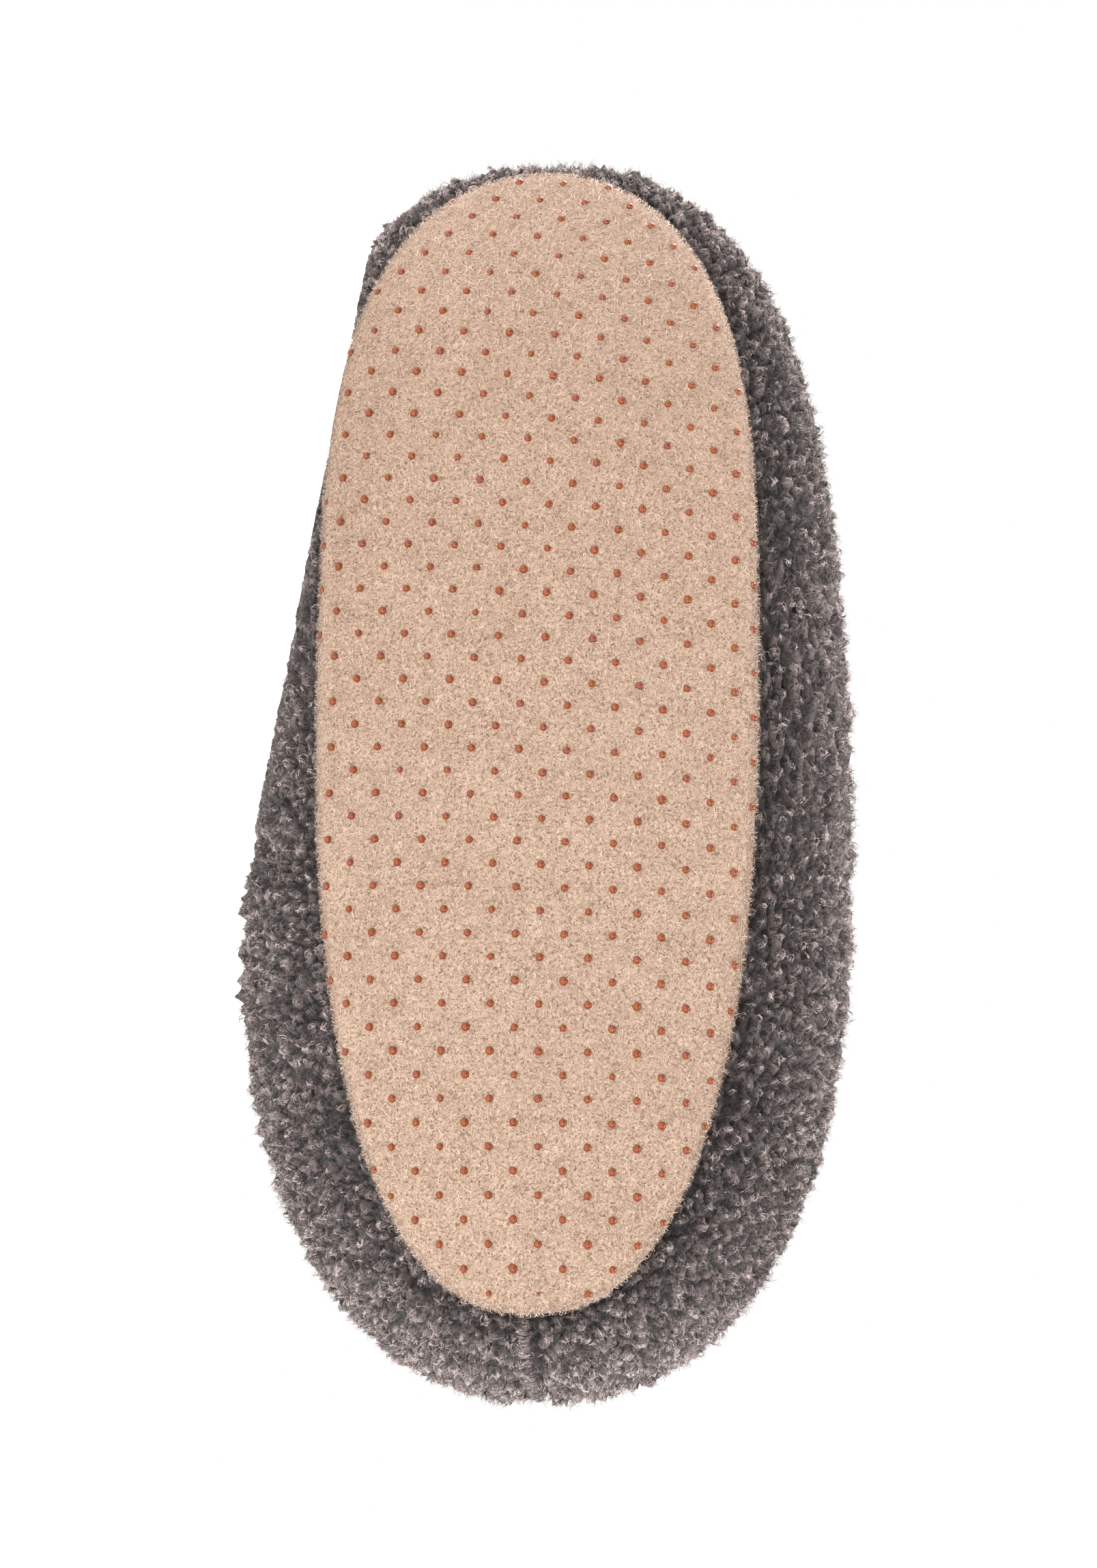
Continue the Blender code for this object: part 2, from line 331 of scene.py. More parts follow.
def face_array(mesh, field):
    """One vector of every face, such as its centre or normal, as rows."""
    values = np.empty(len(mesh.polygons) * 3)
    mesh.polygons.foreach_get(field, values)
    return values.reshape(-1, 3)


def tangent_frame(normals, dice):
    """Two directions across each normal, turned at random about it."""
    across = unit(np.cross(normals, dice.normal(size=normals.shape)))
    return across, np.cross(normals, across)


def ribbon_piece(name, points, sides, tones):
    """One mesh of many fine ribbons; points and sides run by ribbon, place along it and xyz."""
    count, places = points.shape[:2]
    rails = np.stack((points - sides, points + sides), axis=2).reshape(-1, 3)
    first = 2 * (places * np.arange(count)[:, None] + np.arange(places - 1))
    faces = np.stack((first, first + 1, first + 3, first + 2), axis=-1).reshape(-1, 4)
    mesh = bpy.data.meshes.new(name)
    mesh.from_pydata(rails.tolist(), [], faces.tolist())
    add_attribute(mesh, "tone", np.repeat(tones.reshape(-1), 2))
    mesh.shade_smooth()
    return add_object(name, mesh)


nap_dice = np.random.default_rng(NAP_SEED)
tread_slope = (face_array(sole.data, "normal") @ turn)[:, 2]
rim_faces = np.abs(tread_slope - RIM_SLOPE) < RIM_SLOPE_RANGE
flat_nap = scatter(sole.data, tread_slope < TREAD_SLOPE, NAP_COUNT - RIM_NAP_COUNT, nap_dice)
rim_nap = scatter(sole.data, rim_faces, RIM_NAP_COUNT, nap_dice)
nap_roots, nap_normals = (np.concatenate(both) for both in zip(flat_nap, rim_nap))
nap_along, nap_across = tangent_frame(nap_normals, nap_dice)
nap_rim = np.clip(1.0 + (nap_normals @ turn)[:, 2], 0.0, 1.0)
nap_toe = np.clip((to_shoe(nap_roots)[:, 0] - NAP_TOE_START) / NAP_TOE_REACH, 0.0, 1.0)
nap_loose = LOOSE_AT_RIM * nap_rim + LOOSE_AT_TOE * nap_toe
nap_length = (nap_dice.uniform(*NAP_LENGTH, NAP_COUNT) * (1.0 + nap_loose))[:, None]
nap_lift = (nap_dice.uniform(*NAP_LIFT, NAP_COUNT) * (1.0 + LOOSE_LIFT * nap_loose))[:, None]
nap_curl = nap_dice.uniform(-NAP_CURL, NAP_CURL, NAP_COUNT)[:, None] * nap_length
nap_middle = nap_roots + nap_along * nap_length / 2 + nap_normals * nap_lift
nap_tip = nap_roots + nap_along * nap_length + nap_across * nap_curl
nap_tip += nap_normals * nap_lift * NAP_TIP_LIFT
nap_points = np.stack((nap_roots, nap_middle, nap_tip), axis=1)
keep_above_floor(nap_points)
nap_places = nap_points.shape[1]
nap_sides = np.repeat(nap_across[:, None], nap_places, axis=1) * NAP_HALF_WIDTH
nap_sides[:, -1] *= NAP_TIP_WIDTH
# Painted light: the nap is paler towards the toe.
nap_own = np.clip(nap_dice.random(NAP_COUNT) + NAP_TOE_PAINTED_LIGHT * nap_toe, 0.0, 1.0)
nap = ribbon_piece("sole_nap", nap_points, nap_sides, np.repeat(nap_own[:, None], nap_places, axis=1))
nap_fibre, tree, shader = new_material("tan_nap_fibre")
tree.links.new(ramp(tree, read_attribute(tree, "tone"), NAP_STOPS), shader.inputs["Base Color"])
set_inputs(shader, Roughness=0.8, Specular_IOR_Level=0.2)
nap.data.materials.append(nap_fibre)
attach(nap, "root")

# The grip dots: drops of rust-red rubber printed on the fabric in staggered rows, then cured.
# Each is a low glossy dome; the rows run out where the fabric turns over the rim.
DOT_ROWS = range(-26, 28)
DOT_COLUMNS = range(-11, 12)
DOT_MIDDLE = (0.11976, 0.00187)
ROW_STEP = 0.004897
ROW_SLANT = -0.000211
ROW_TWIST = -0.0000084
ROW_SPREAD = 0.0000025
COLUMN_STEP = 0.004924
COLUMN_LEAN = 0.000051
COLUMN_BOW = 0.0000020
DOT_RADIUS = 0.00083
DOT_HEIGHT = 0.00075
DOT_CUT = (0.0, 0.0, -0.2)
ORDER_DECIMALS = 4
DOT_SPREAD = 0.06
DOT_STEEPEST = 0.15
DOT_RAY_START = -0.02
DOT_RAY_LENGTH = 0.06
RIM_DOT_LEVEL = 0.0035
RIM_DOT_REACH = 0.0018
SMALL_DOT = (-24, 0)
SMALL_DOT_SIZE = 0.5
DOT_SEED = 3
DOT_GRAIN_SCALE = 900.0
RUST = (0.226, 0.0475, 0.0085, 1.0)
RUST_DEEP = (0.135, 0.024, 0.005, 1.0)
RUST_STOPS = ((0.35, RUST_DEEP), (0.6, RUST))

bpy.ops.object.select_all(action="DESELECT")
bpy.ops.mesh.primitive_uv_sphere_add(segments=10, ring_count=6, radius=1.0)
drop = bpy.context.object
bpy.ops.object.mode_set(mode="EDIT")
bpy.ops.mesh.select_all(action="SELECT")
bpy.ops.mesh.bisect(plane_co=DOT_CUT, plane_no=(0, 0, 1), clear_inner=True)
bpy.ops.object.mode_set(mode="OBJECT")
drop_corners = vertex_array(drop.data, "co")
drop_order = np.lexsort(np.round(drop_corners, ORDER_DECIMALS).T)
drop_rank = np.argsort(drop_order)
drop_points = drop_corners[drop_order] * (DOT_RADIUS, DOT_RADIUS, DOT_HEIGHT)
drop_faces = sorted(tuple(drop_rank[list(face.vertices)].tolist()) for face in drop.data.polygons)
bpy.data.objects.remove(drop)

dot_dice = np.random.default_rng(DOT_SEED)
into_tread = Vector(turn @ np.array((0.0, 0.0, 1.0)))
dot_verts, dot_faces = [], []
for row in DOT_ROWS:
    for column in DOT_COLUMNS:
        if (row + column) % 2:
            continue
        along = DOT_MIDDLE[0] + ROW_STEP * row + ROW_SPREAD * row ** 2
        along += (ROW_SLANT + ROW_TWIST * row) * column
        across = DOT_MIDDLE[1] + COLUMN_STEP * column + COLUMN_LEAN * row + COLUMN_BOW * row ** 2
        below = Vector(to_floor(np.array((along, across, DOT_RAY_START))))
        hit, place, normal, _ = sole.ray_cast(below, into_tread, distance=DOT_RAY_LENGTH)
        if not hit or -normal.dot(into_tread) < DOT_STEEPEST:
            rim_place = Vector(to_floor(np.array((along, across, RIM_DOT_LEVEL))))
            hit, place, normal, _ = sole.closest_point_on_mesh(rim_place, distance=RIM_DOT_REACH)
        if not hit or place.z < DOT_RADIUS:
            continue
        roll = Matrix.Rotation(dot_dice.uniform(0, math.tau), 3, "Z")
        spin = normal.to_track_quat("Z", "Y").to_matrix() @ roll
        size = 1.0 + dot_dice.normal() * DOT_SPREAD
        if (row, column) == SMALL_DOT:
            size = SMALL_DOT_SIZE
        start = len(drop_points) * len(dot_verts)
        dot_verts.append(drop_points @ np.array(spin).T * size + np.array(place))
        dot_faces.extend(tuple(start + corner for corner in face) for face in drop_faces)

dot_mesh = bpy.data.meshes.new("grip_dots")
dot_mesh.from_pydata(np.concatenate(dot_verts).tolist(), [], dot_faces)
dot_mesh.shade_smooth()
dots = add_object("grip_dots", dot_mesh)
grip_rubber, tree, shader = new_material("rust_grip_rubber")
dot_grain, _ = fibre_grain(tree, DOT_GRAIN_SCALE)
tree.links.new(ramp(tree, dot_grain.outputs["Tone"], RUST_STOPS), shader.inputs["Base Color"])
set_inputs(shader, Roughness=0.14, Specular_IOR_Level=0.4)
raise_bump(tree, shader, dot_grain.outputs["Tone"], strength=0.25, depth=0.0002)
dots.data.materials.append(grip_rubber)
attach(dots, "root")

# The insole: a loose pad of grey wool felt that lies inside, under the foot.
# It is cut to the sole's outline and held only by the fleece wall around it.
INSOLE_SMOOTHING = 1
FELT_FIBRE_SCALE = 1100.0
FELT_DARK = (0.095, 0.088, 0.083, 1.0)
FELT_LIGHT = (0.235, 0.222, 0.212, 1.0)
FELT_DULL = (0.85, 0.85, 0.85, 1.0)
FELT_CLEAR = (1.08, 1.08, 1.08, 1.0)
FELT_STOPS = ((0.3, FELT_DARK), (0.7, FELT_LIGHT))
FELT_PATCH_STOPS = ((0.3, FELT_DULL), (0.7, FELT_CLEAR))

insole = soft_copy("insole", "insole_felt", INSOLE_SMOOTHING)
felt, tree, shader = new_material("grey_felt")
felt_grain, _ = fibre_grain(tree, FELT_FIBRE_SCALE)
felt_colour = ramp(tree, felt_grain.outputs["Tone"], FELT_STOPS)
felt_patch = ramp(tree, felt_grain.outputs["Patches"], FELT_PATCH_STOPS)
felt_shaded = blend_colours(tree, "MULTIPLY", 1.0, felt_colour, felt_patch)
tree.links.new(felt_shaded, shader.inputs["Base Color"])
set_inputs(shader, Roughness=0.97, Specular_IOR_Level=0.1)
raise_bump(tree, shader, felt_grain.outputs["Tone"], strength=0.8, depth=0.0006)
insole.data.materials.append(felt)
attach(insole, "root")
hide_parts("insole")

# The upper: one thick shell of curly grey wool fleece, sewn up at the heel and along the sole.
# Its pile stands in small rounded curls with painted shade in the gaps, and is pressed flat where it lies.
UPPER_SMOOTHING = 1
UPPER_CUTS = 3
CURL_SPACING = 0.0025
CURL_CANDIDATES = 60000
CURL_SEED = 11
CURL_UNEVEN = 0.0004
PILE_DEPTH = 0.0024
PILE_TOP = 0.0002
PILE_SWELL = 0.0011
SWELL_SIZE = 0.0075
RUFFLE = 0.0008
RUFFLE_SIZE = 0.0012
BORDER_WANDER = 0.0017
WANDER_SIZE = 0.0021
DOME_POWER = 2.4
COMBED_LEVEL = 0.7
LINING_SIZE = 0.0035
LINING_TONE = 0.34
LINING_MOTTLE = 0.22
LINING_DEPTH = 0.0006
SPINE_ENDS = (0.040, 0.190)
SPINE_HEIGHT = 0.042
SEAM_REACH = 0.030
GROOVE_MIDDLE = 0.0007
GROOVE_HALF_WIDTH = 0.0008
GROOVE_DEPTH = 0.0019
GROOVE_SHADE = 0.8
COMBED_MIDDLE = -0.0012
COMBED_HALF_WIDTH = 0.0014
PILE_TONE = 0.56
GAP_SHADE_TONE = 0.01
DARKEST_CURL = 0.1
GAP_SHADE_POWER = 1.5
CURL_SHADE = 0.11
PATCH_SHADE = 0.30
PATCH_SIZE = 0.0055
ENDS_MIDDLE = 0.126
ENDS_START = 0.102
ENDS_REACH = 0.032
TOE_PAINTED_LIGHT = 0.22
HEEL_PAINTED_LIGHT = 0.10
RISE_START = 0.010
RISE_REACH = 0.028
RISE_SHADE = 0.34
RISE_EVEN = 0.33
FLOOR_PAINTED_LIGHT = 0.15
FLOOR_REACH = 0.036
STRAND_SCALE = 700.0
STRAND_DARK = (0.16, 0.15, 0.145, 1.0)
STRAND_LIGHT = (1.42, 1.42, 1.42, 1.0)
WOOL_DARK = (0.016, 0.0118, 0.0105, 1.0)
WOOL_MID = (0.170, 0.133, 0.126, 1.0)
WOOL_LIGHT = (0.530, 0.440, 0.418, 1.0)
STRAND_STOPS = ((0.43, STRAND_DARK), (0.54, STRAND_LIGHT))
WOOL_STOPS = ((0.0, WOOL_DARK), (0.5, WOOL_MID), (1.0, WOOL_LIGHT))


def away_from_spine(points):
    """Directions from the middle of the foot to points in the shoe's frame."""
    spine = np.stack(
        (
            np.clip(points[:, 0], *SPINE_ENDS),
            np.zeros(len(points)),
            np.full(len(points), SPINE_HEIGHT),
        ),
        axis=1,
    )
    return points - spine


def outer_faces(mesh):
    """Which faces of the fleece look away from the foot."""
    centres = to_shoe(face_array(mesh, "center"))
    normals = face_array(mesh, "normal") @ turn
    return (away_from_spine(centres) * normals).sum(axis=1) > 0


def point_tree(points):
    """A tree that finds the nearest of many points."""
    made = KDTree(len(points))
    for place, point in enumerate(points):
        made.insert(point, place)
    made.balance()
    return made


def spaced(points, gap):
    """The places in a list of points that leave no two nearer than a gap."""
    nearby = point_tree(points)
    free = np.ones(len(points), dtype=bool)
    kept = []
    for place, point in enumerate(points):
        if not free[place]:
            continue
        kept.append(place)
        for _, near, _ in nearby.find_range(point, gap):
            free[near] = False
    return np.array(kept)


def clouds(points, size):
    """Smooth random values at points, in clouds of a given size."""
    return np.array([noise.noise(Vector(point) / size) for point in points])


def seam_share(points, middle, half_width):
    """How far points of the shoe's frame lie in a band up the heel, from none at 0 to its middle at 1."""
    near = np.exp(-(((points[:, 1] - middle) / half_width) ** 2))
    return np.where(points[:, 0] < SEAM_REACH, near, 0.0)


upper = soft_copy("upper", "fleece_upper", UPPER_SMOOTHING)
face_side = outer_faces(upper.data)
bpy.context.tool_settings.mesh_select_mode = (False, False, True)
bpy.ops.object.mode_set(mode="EDIT")
bpy.ops.mesh.select_all(action="DESELECT")
bpy.ops.object.mode_set(mode="OBJECT")
upper.data.polygons.foreach_set("select", face_side)
bpy.ops.object.mode_set(mode="EDIT")
bpy.ops.mesh.subdivide(number_cuts=UPPER_CUTS)
bpy.ops.object.mode_set(mode="OBJECT")

noise.seed_set(CURL_SEED)
curl_dice = np.random.default_rng(CURL_SEED)
curl_points, curl_normals = scatter(upper.data, outer_faces(upper.data), CURL_CANDIDATES, curl_dice)
curl_places = spaced(curl_points, CURL_SPACING)
curl_points, curl_normals = curl_points[curl_places], curl_normals[curl_places]
curl_count = len(curl_points)
curl_tree = point_tree(curl_points)
curl_in_shoe = to_shoe(curl_points)
curl_along_foot = curl_in_shoe[:, 0] - ENDS_MIDDLE
curl_ends = np.clip((np.abs(curl_along_foot) - ENDS_START) / ENDS_REACH, 0.0, 1.0)
# Painted light: the curls are paler towards the toe and the heel.
ends_painted_light = np.where(curl_along_foot > 0.0, TOE_PAINTED_LIGHT, HEEL_PAINTED_LIGHT) * curl_ends
# Painted shade and light: the curls are darker near the sole and paler higher up the shoe.
curl_rise = np.clip((curl_in_shoe[:, 2] - RISE_START) / RISE_REACH, 0.0, 1.0)
rise_shade = RISE_SHADE * (curl_rise - RISE_EVEN)
# Painted light: the curls are paler near the floor.
floor_painted_light = FLOOR_PAINTED_LIGHT * np.clip(1.0 - curl_points[:, 2] / FLOOR_REACH, 0.0, 1.0)
curl_shade = PATCH_SHADE * clouds(curl_points, PATCH_SIZE) + ends_painted_light + rise_shade + floor_painted_light
curl_shade += curl_dice.normal(0.0, CURL_SHADE, curl_count)
curl_top = PILE_TOP + PILE_SWELL * clouds(curl_points, SWELL_SIZE)
curl_top += curl_dice.normal(0.0, CURL_UNEVEN, curl_count)

shell_points = vertex_array(upper.data, "co")
shell_normals = vertex_array(upper.data, "normal")
shell_in_shoe = to_shoe(shell_points)
shell_outer = (away_from_spine(shell_in_shoe) * (shell_normals @ turn)).sum(axis=1) > 0
groove = seam_share(shell_in_shoe, GROOVE_MIDDLE, GROOVE_HALF_WIDTH)
combed = seam_share(shell_in_shoe, COMBED_MIDDLE, COMBED_HALF_WIDTH)
lining = clouds(shell_points, LINING_SIZE)
pile_tone = LINING_TONE + LINING_MOTTLE * lining
shell_points += shell_normals * (LINING_DEPTH * lining * ~shell_outer)[:, None]
for place in np.flatnonzero(shell_outer):
    point = Vector(shell_points[place])
    wander = noise.noise_vector(point / WANDER_SIZE) * BORDER_WANDER
    wander += noise.noise_vector(point / RUFFLE_SIZE) * RUFFLE
    (_, curl, nearest), (_, neighbour, second) = curl_tree.find_n(point + wander, 2)
    closeness = 1.0 - (second - nearest) / (second + nearest)
    dome = 1.0 - closeness ** DOME_POWER
    dome += (COMBED_LEVEL - dome) * combed[place]
    ruffle = RUFFLE * noise.noise(point / RUFFLE_SIZE)
    share = 0.5 + 0.5 * dome
    top = share * curl_top[curl] + (1.0 - share) * curl_top[neighbour]
    sunk = PILE_DEPTH * (1.0 - dome) + GROOVE_DEPTH * groove[place]
    shell_points[place] += shell_normals[place] * (top - sunk + ruffle)
    # Painted shade: the pile's tone falls towards the gaps between curls.
    full_tone = max(DARKEST_CURL, PILE_TONE + curl_shade[curl])
    pile_tone[place] = GAP_SHADE_TONE + full_tone * dome ** GAP_SHADE_POWER
# Painted shade in the heel seam's groove.
pile_tone *= 1.0 - GROOVE_SHADE * groove
keep_above_floor(shell_points)
upper.data.vertices.foreach_set("co", shell_points.reshape(-1))
upper.data.update()
add_attribute(upper.data, "tone", pile_tone)


def wool_colour(tree):
    """The wool's colour from its tone, which holds painted shade and light, mottled by strands, and the
    strands' height.
    """
    strands, _ = fibre_grain(tree, STRAND_SCALE)
    mottle = ramp(tree, strands.outputs["Tone"], STRAND_STOPS)
    own = ramp(tree, read_attribute(tree, "tone"), WOOL_STOPS)
    return blend_colours(tree, "MULTIPLY", 1.0, own, mottle), strands.outputs["Tone"]


wool, tree, shader = new_material("grey_wool_fleece")
shell_colour, strand_height = wool_colour(tree)
tree.links.new(shell_colour, shader.inputs["Base Color"])
set_inputs(shader, Roughness=0.97, Specular_IOR_Level=0.1, Sheen_Weight=0.15, Sheen_Roughness=0.5)
raise_bump(tree, shader, strand_height, strength=1.0, depth=0.0010)
upper.data.materials.append(wool)
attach(upper, "root")
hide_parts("upper")

# The curls: the wool fibres of the fleece's face, lying over each tuft, with strays that stand off.
# They grow from the fleece itself, so each bends over the tuft under it and is painted darker in the gaps,
# as shade.
LOCKS_PER_CURL = 5
FIBRES_PER_LOCK = 5
STRAYS_PER_LOCK = 2
LYING_LEVEL = 0.0012
COMBED_LIMIT = 0.25
CURL_RADIUS = 0.00155
CURL_FALL = 0.7
OUTNESS_LIMIT = 1.3
LOCK_TURN = 1.3
LOCK_SPREAD = 0.0002
LOCK_LIFT = 0.0004
LOCK_SHADE = 0.20
FIBRE_PLACES = 3
FIBRE_TURN = 0.3
FIBRE_LENGTH = (0.0009, 0.0021)
FIBRE_CURL = 1.2
FIBRE_LIFT = 0.0002
FIBRE_LEAN = 0.4
FIBRE_HALF_WIDTH = 0.000052
FIBRE_TIP_WIDTH = 0.4
FIBRE_SHADE = 0.10
STRAY_REACH = (0.0002, 0.0011)
STRAY_BEND = 1.4
STRAY_AT_ENDS = 0.25
STRAY_PAINTED_LIGHT = 0.05
TOP_TONE = 0.80
OUT_SHADE = 0.74
LIFT_PAINTED_LIGHT = 100.0
FIBRE_TONES = (0.03, 0.82)


def centred_run(steps, middles):
    """How far each fibre has run at each of its places, about its own middle."""
    run = np.cumsum(np.where(fibre_places > 0, steps, 0.0), axis=1)
    return run + (middles[:, None] - run.mean(axis=1, keepdims=True))


curl_combed = seam_share(curl_in_shoe, COMBED_MIDDLE, COMBED_HALF_WIDTH)
lifted = np.flatnonzero((curl_points[:, 2] > LYING_LEVEL) & (curl_combed < COMBED_LIMIT))
lock_curl = np.repeat(lifted, LOCKS_PER_CURL)
lock_count = len(lock_curl)
fibre_lock = np.repeat(np.arange(lock_count), FIBRES_PER_LOCK)
fibre_curl = lock_curl[fibre_lock]
fibre_count = len(fibre_curl)
fibre_places = np.arange(FIBRE_PLACES)[None, :]
stray = np.tile(np.arange(FIBRES_PER_LOCK) < STRAYS_PER_LOCK, lock_count)
curl_across, curl_along = tangent_frame(curl_normals, curl_dice)
start_turn = curl_dice.uniform(0.0, math.tau, lock_count)[fibre_lock]
start_out = CURL_RADIUS * np.sqrt(curl_dice.random(lock_count))[fibre_lock]
heading = curl_dice.normal(0.0, LOCK_TURN, lock_count)[fibre_lock]
heading += curl_dice.normal(0.0, FIBRE_TURN, fibre_count)
aside = curl_dice.normal(0.0, LOCK_SPREAD, (2, fibre_count))
length = curl_dice.uniform(*FIBRE_LENGTH, fibre_count)
bend = curl_dice.normal(0.0, FIBRE_CURL, fibre_count)
step = length[:, None] / (FIBRE_PLACES - 1)
headings = heading[:, None] + bend[:, None] * (fibre_places - 1)
run_across = centred_run(np.cos(headings) * step, start_out * np.cos(start_turn) + aside[0])
run_along = centred_run(np.sin(headings) * step, start_out * np.sin(start_turn) + aside[1])
outness = np.minimum(np.hypot(run_across, run_along) / CURL_RADIUS, OUTNESS_LIMIT)
fall = PILE_DEPTH * CURL_FALL * outness ** 2
reach = curl_dice.uniform(*STRAY_REACH, fibre_count) * (1.0 + STRAY_AT_ENDS * curl_ends[fibre_curl])
reach = np.where(stray, reach, 0.0)
lift = LOCK_LIFT * curl_dice.random(lock_count)[fibre_lock]
lift += curl_dice.uniform(0.0, FIBRE_LIFT, fibre_count)
rise = lift[:, None] + reach[:, None] * (fibre_places / (FIBRE_PLACES - 1)) ** STRAY_BEND
height = curl_top[fibre_curl][:, None] - fall + rise
out = curl_normals[fibre_curl][:, None, :]
fibre_points = (
    curl_points[fibre_curl][:, None, :]
    + curl_across[fibre_curl][:, None, :] * run_across[:, :, None]
    + curl_along[fibre_curl][:, None, :] * run_along[:, :, None]
    + out * height[:, :, None]
)
keep_above_floor(fibre_points)
fibre_run = unit(np.gradient(fibre_points, axis=1))
fibre_lean = unit(out + curl_dice.normal(0.0, FIBRE_LEAN, (fibre_count, 1, 3)))
fibre_sides = unit(np.cross(fibre_run, fibre_lean)) * FIBRE_HALF_WIDTH
fibre_sides[:, -1] *= FIBRE_TIP_WIDTH
fibre_own = curl_dice.normal(0.0, LOCK_SHADE, lock_count)[fibre_lock]
fibre_own += curl_dice.normal(0.0, FIBRE_SHADE, fibre_count)
# Painted light: strays are paler than the lying fibres.
fibre_own += STRAY_PAINTED_LIGHT * stray + curl_shade[fibre_curl]
# Painted shade darkens each fibre towards the curl's edge; painted light makes lifted fibres paler.
fibre_tones = TOP_TONE - OUT_SHADE * outness ** 2 + fibre_own[:, None] + LIFT_PAINTED_LIGHT * rise
fibre_tones = np.clip(fibre_tones, *FIBRE_TONES)

wool_fibre, tree, shader = new_material("grey_wool_fibre")
tree.links.new(wool_colour(tree)[0], shader.inputs["Base Color"])
set_inputs(shader, Roughness=0.85, Specular_IOR_Level=0.1, Sheen_Weight=0.1)
fibre_x = curl_in_shoe[fibre_curl, 0]
thirds = np.quantile(fibre_x, (1 / 3, 2 / 3))
for third, region in enumerate(("heel", "waist", "toe")):
    here = np.searchsorted(thirds, fibre_x) == third
    curls = ribbon_piece(f"fleece_curls_{region}", fibre_points[here], fibre_sides[here], fibre_tones[here])
    curls.data.materials.append(wool_fibre)
    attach(curls, "root")

# The heel seam: the fleece's two edges are sewn together up the back of the heel.
# Beside the groove of the stitches, darkened with painted shade, paler wool is combed across to hide them.
SEAM_FIBRES = 1500
SEAM_FIBRE_LENGTH = (0.0013, 0.0028)
SEAM_FIBRE_LIFT = 0.0007
SEAM_SEED = 19
SEAM_EDGE = 0.4
COMB_SPREAD = 0.22
COMB_TONE = 0.56
COMB_SHADE = 0.22
COMB_GROOVE_SHADE = 0.7
COMB_TONES = (0.03, 1.0)

seam_dice = np.random.default_rng(SEAM_SEED)
seam_faces = to_shoe(face_array(upper.data, "center"))
seam_near = seam_share(seam_faces, COMBED_MIDDLE, COMBED_HALF_WIDTH) > SEAM_EDGE
seam_roots, seam_normals = scatter(upper.data, outer_faces(upper.data) & seam_near, SEAM_FIBRES, seam_dice)
comb_way = turn @ np.array((0.0, 1.0, 0.0)) + seam_dice.normal(0.0, COMB_SPREAD, (SEAM_FIBRES, 3))
comb_way = unit(comb_way - seam_normals * (comb_way * seam_normals).sum(axis=1, keepdims=True))
comb_length = seam_dice.uniform(*SEAM_FIBRE_LENGTH, SEAM_FIBRES)[:, None, None]
comb_steps = np.linspace(-0.5, 0.5, FIBRE_PLACES)[None, :, None]
comb_arch = 1.0 - (2.0 * comb_steps) ** 2
comb_lift = (SEAM_FIBRE_LIFT * seam_dice.random(SEAM_FIBRES))[:, None, None] * comb_arch
comb_points = seam_roots[:, None] + comb_way[:, None] * comb_length * comb_steps
comb_points += seam_normals[:, None] * comb_lift
keep_above_floor(comb_points)
comb_across = np.cross(comb_way, seam_normals)[:, None]
comb_sides = np.repeat(comb_across, FIBRE_PLACES, axis=1) * FIBRE_HALF_WIDTH
# Painted shade: the combed fibres darken where they cross the groove.
comb_groove = seam_share(to_shoe(comb_points.reshape(-1, 3)), GROOVE_MIDDLE, GROOVE_HALF_WIDTH)
comb_tones = seam_dice.normal(COMB_TONE, COMB_SHADE, SEAM_FIBRES)[:, None]
comb_tones = comb_tones - COMB_GROOVE_SHADE * comb_groove.reshape(-1, FIBRE_PLACES)
seam_wool = ribbon_piece("heel_seam_wool", comb_points, comb_sides, np.clip(comb_tones, *COMB_TONES))
seam_wool.data.materials.append(wool_fibre)
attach(seam_wool, "root")

# The floor: a white acrylic shooting table that the slipper lies on, lit from below.
# Its glow keeps the shadow round the slipper pale, and the sheet has only a faint mottle.
FLOOR_SIZE = 8.0
FLOOR_GLOW = 1.72
SHEET_SCALE = 3.0
SHEET_DULL = (0.38, 0.38, 0.38, 1.0)
SHEET_CLEAR = (0.40, 0.40, 0.40, 1.0)
SHEET_STOPS = ((0.3, SHEET_DULL), (0.7, SHEET_CLEAR))

bpy.ops.object.select_all(action="DESELECT")
bpy.ops.mesh.primitive_plane_add(size=FLOOR_SIZE)
floor = bpy.context.object
floor.name = "studio_floor"
acrylic, tree, shader = new_material("white_acrylic")
sheet_place = tree.nodes.new("ShaderNodeTexCoord")
sheet_mottle = texture(tree, "ShaderNodeTexNoise", sheet_place.outputs["Object"], Scale=SHEET_SCALE)
tree.links.new(ramp(tree, sheet_mottle.outputs["Fac"], SHEET_STOPS), shader.inputs["Base Color"])
set_inputs(
    shader,
    Roughness=0.9,
    Specular_IOR_Level=0.0,
    Emission_Color=WHITE,
    Emission_Strength=FLOOR_GLOW,
)
floor.data.materials.append(acrylic)

# The light: a white room, two soft boxes in front of the sole on the heel side, one above, two behind.
# The front ones show as small glints low in each dot, and the back ones light up the fuzzy rim.
ROOM_GLOW = 0.45
BACKDROP_GLOW = 1.0
LIGHT_AIM = Vector((0.0, 0.0, 0.06))
SOFT_BOXES = (
    ("soft_box_heel", (1.05, -0.95, 0.38), 0.4, 5.0),
    ("soft_box_low", (0.85, -1.15, 0.12), 0.22, 8.5),
    ("back_box_toe", (-0.95, 0.30, 0.35), 0.7, 36.0),
    ("top_box", (0.1, -0.1, 1.05), 0.7, 14.0),
    ("back_box_heel", (1.0, 0.6, 0.45), 0.7, 11.0),
)

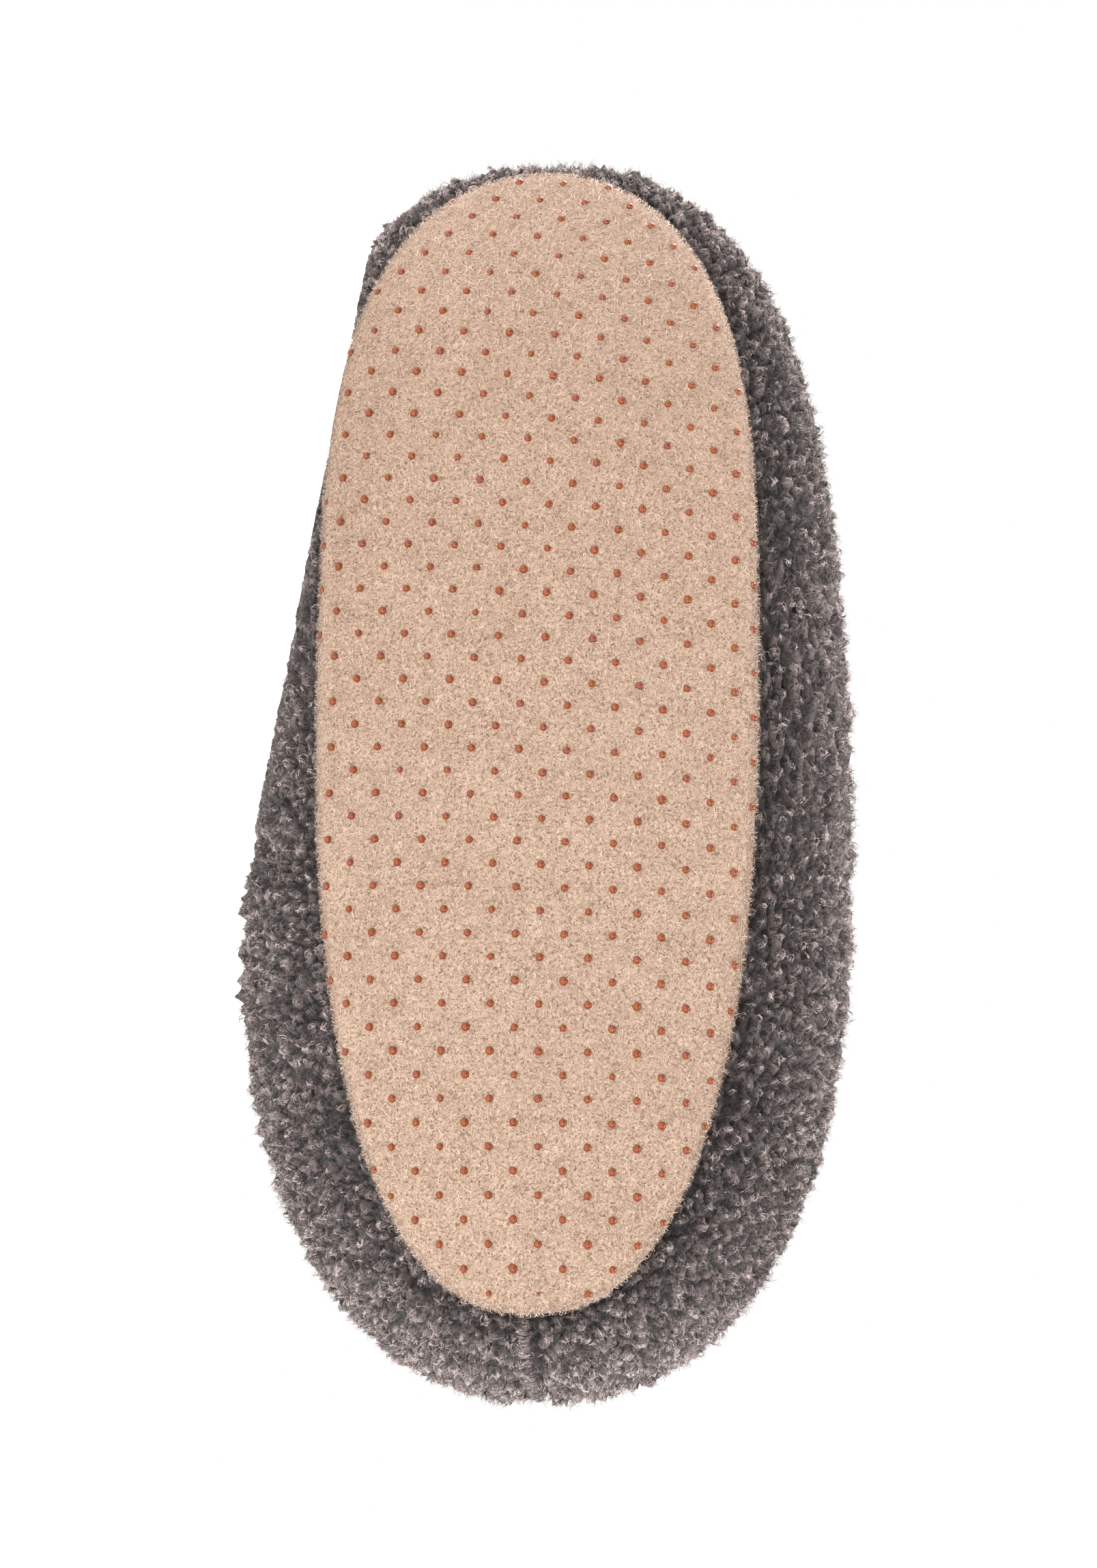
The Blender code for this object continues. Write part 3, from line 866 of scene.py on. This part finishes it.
bpy.context.scene.view_settings.view_transform = "Standard"
world = bpy.data.worlds.new("white_room")
bpy.context.scene.world = world
world.use_nodes = True
room = world.node_tree
seen = room.nodes.new("ShaderNodeLightPath")
glow = room.nodes.new("ShaderNodeMapRange")
set_inputs(glow, To_Min=ROOM_GLOW, To_Max=BACKDROP_GLOW)
room.links.new(seen.outputs["Is Camera Ray"], glow.inputs["Value"])
room.links.new(glow.outputs["Result"], room.nodes["Background"].inputs["Strength"])
set_inputs(room.nodes["Background"], Color=WHITE)
for name, place, size, power in SOFT_BOXES:
    lamp = bpy.data.lights.new(name, "AREA")
    lamp.size = size
    lamp.energy = power
    box = add_object(name, lamp)
    box.location = place
    box.rotation_euler = (LIGHT_AIM - Vector(place)).to_track_quat("-Z", "Y").to_euler()

# The camera: it faces the tread as the photograph does, turned so that the toe is at the top.
# It stays just above the floor, so it is rolled a few degrees about the shoe's length.
VIEW_FROM_HEEL = math.radians(16.23)
VIEW_FROM_FLOOR = math.radians(3.5)
VIEW_TWIST = math.radians(0.53)
VIEW_DISTANCE = 0.662
VIEW_AIM = Vector((0.126, 0.0, 0.0))
VIEW_RIGHT = -0.0029
VIEW_UP = 0.01772
VIEW_LENS = 73.40
VIEW_NEAREST = 0.01

back = Vector(
    (
        -math.sin(VIEW_FROM_HEEL),
        math.sin(VIEW_FROM_FLOOR) * math.cos(VIEW_FROM_HEEL),
        -math.cos(VIEW_FROM_HEEL) * math.cos(VIEW_FROM_FLOOR),
    )
)
toe_way = Vector((1.0, 0.0, 0.0))
image_up = (toe_way - back * toe_way.dot(back)).normalized()
image_right = image_up.cross(back)
right = math.cos(VIEW_TWIST) * image_right + math.sin(VIEW_TWIST) * image_up
up = math.cos(VIEW_TWIST) * image_up - math.sin(VIEW_TWIST) * image_right
stand = VIEW_AIM + back * VIEW_DISTANCE - right * VIEW_RIGHT - up * VIEW_UP
lens = bpy.data.cameras.new("camera")
lens.lens = VIEW_LENS
lens.clip_start = VIEW_NEAREST
camera = add_object("camera", lens)
axes = lying @ Matrix((right, up, back)).transposed()
camera.matrix_world = Matrix.Translation(Vector(to_floor(np.array(stand)))) @ axes.to_4x4()
bpy.context.scene.camera = camera
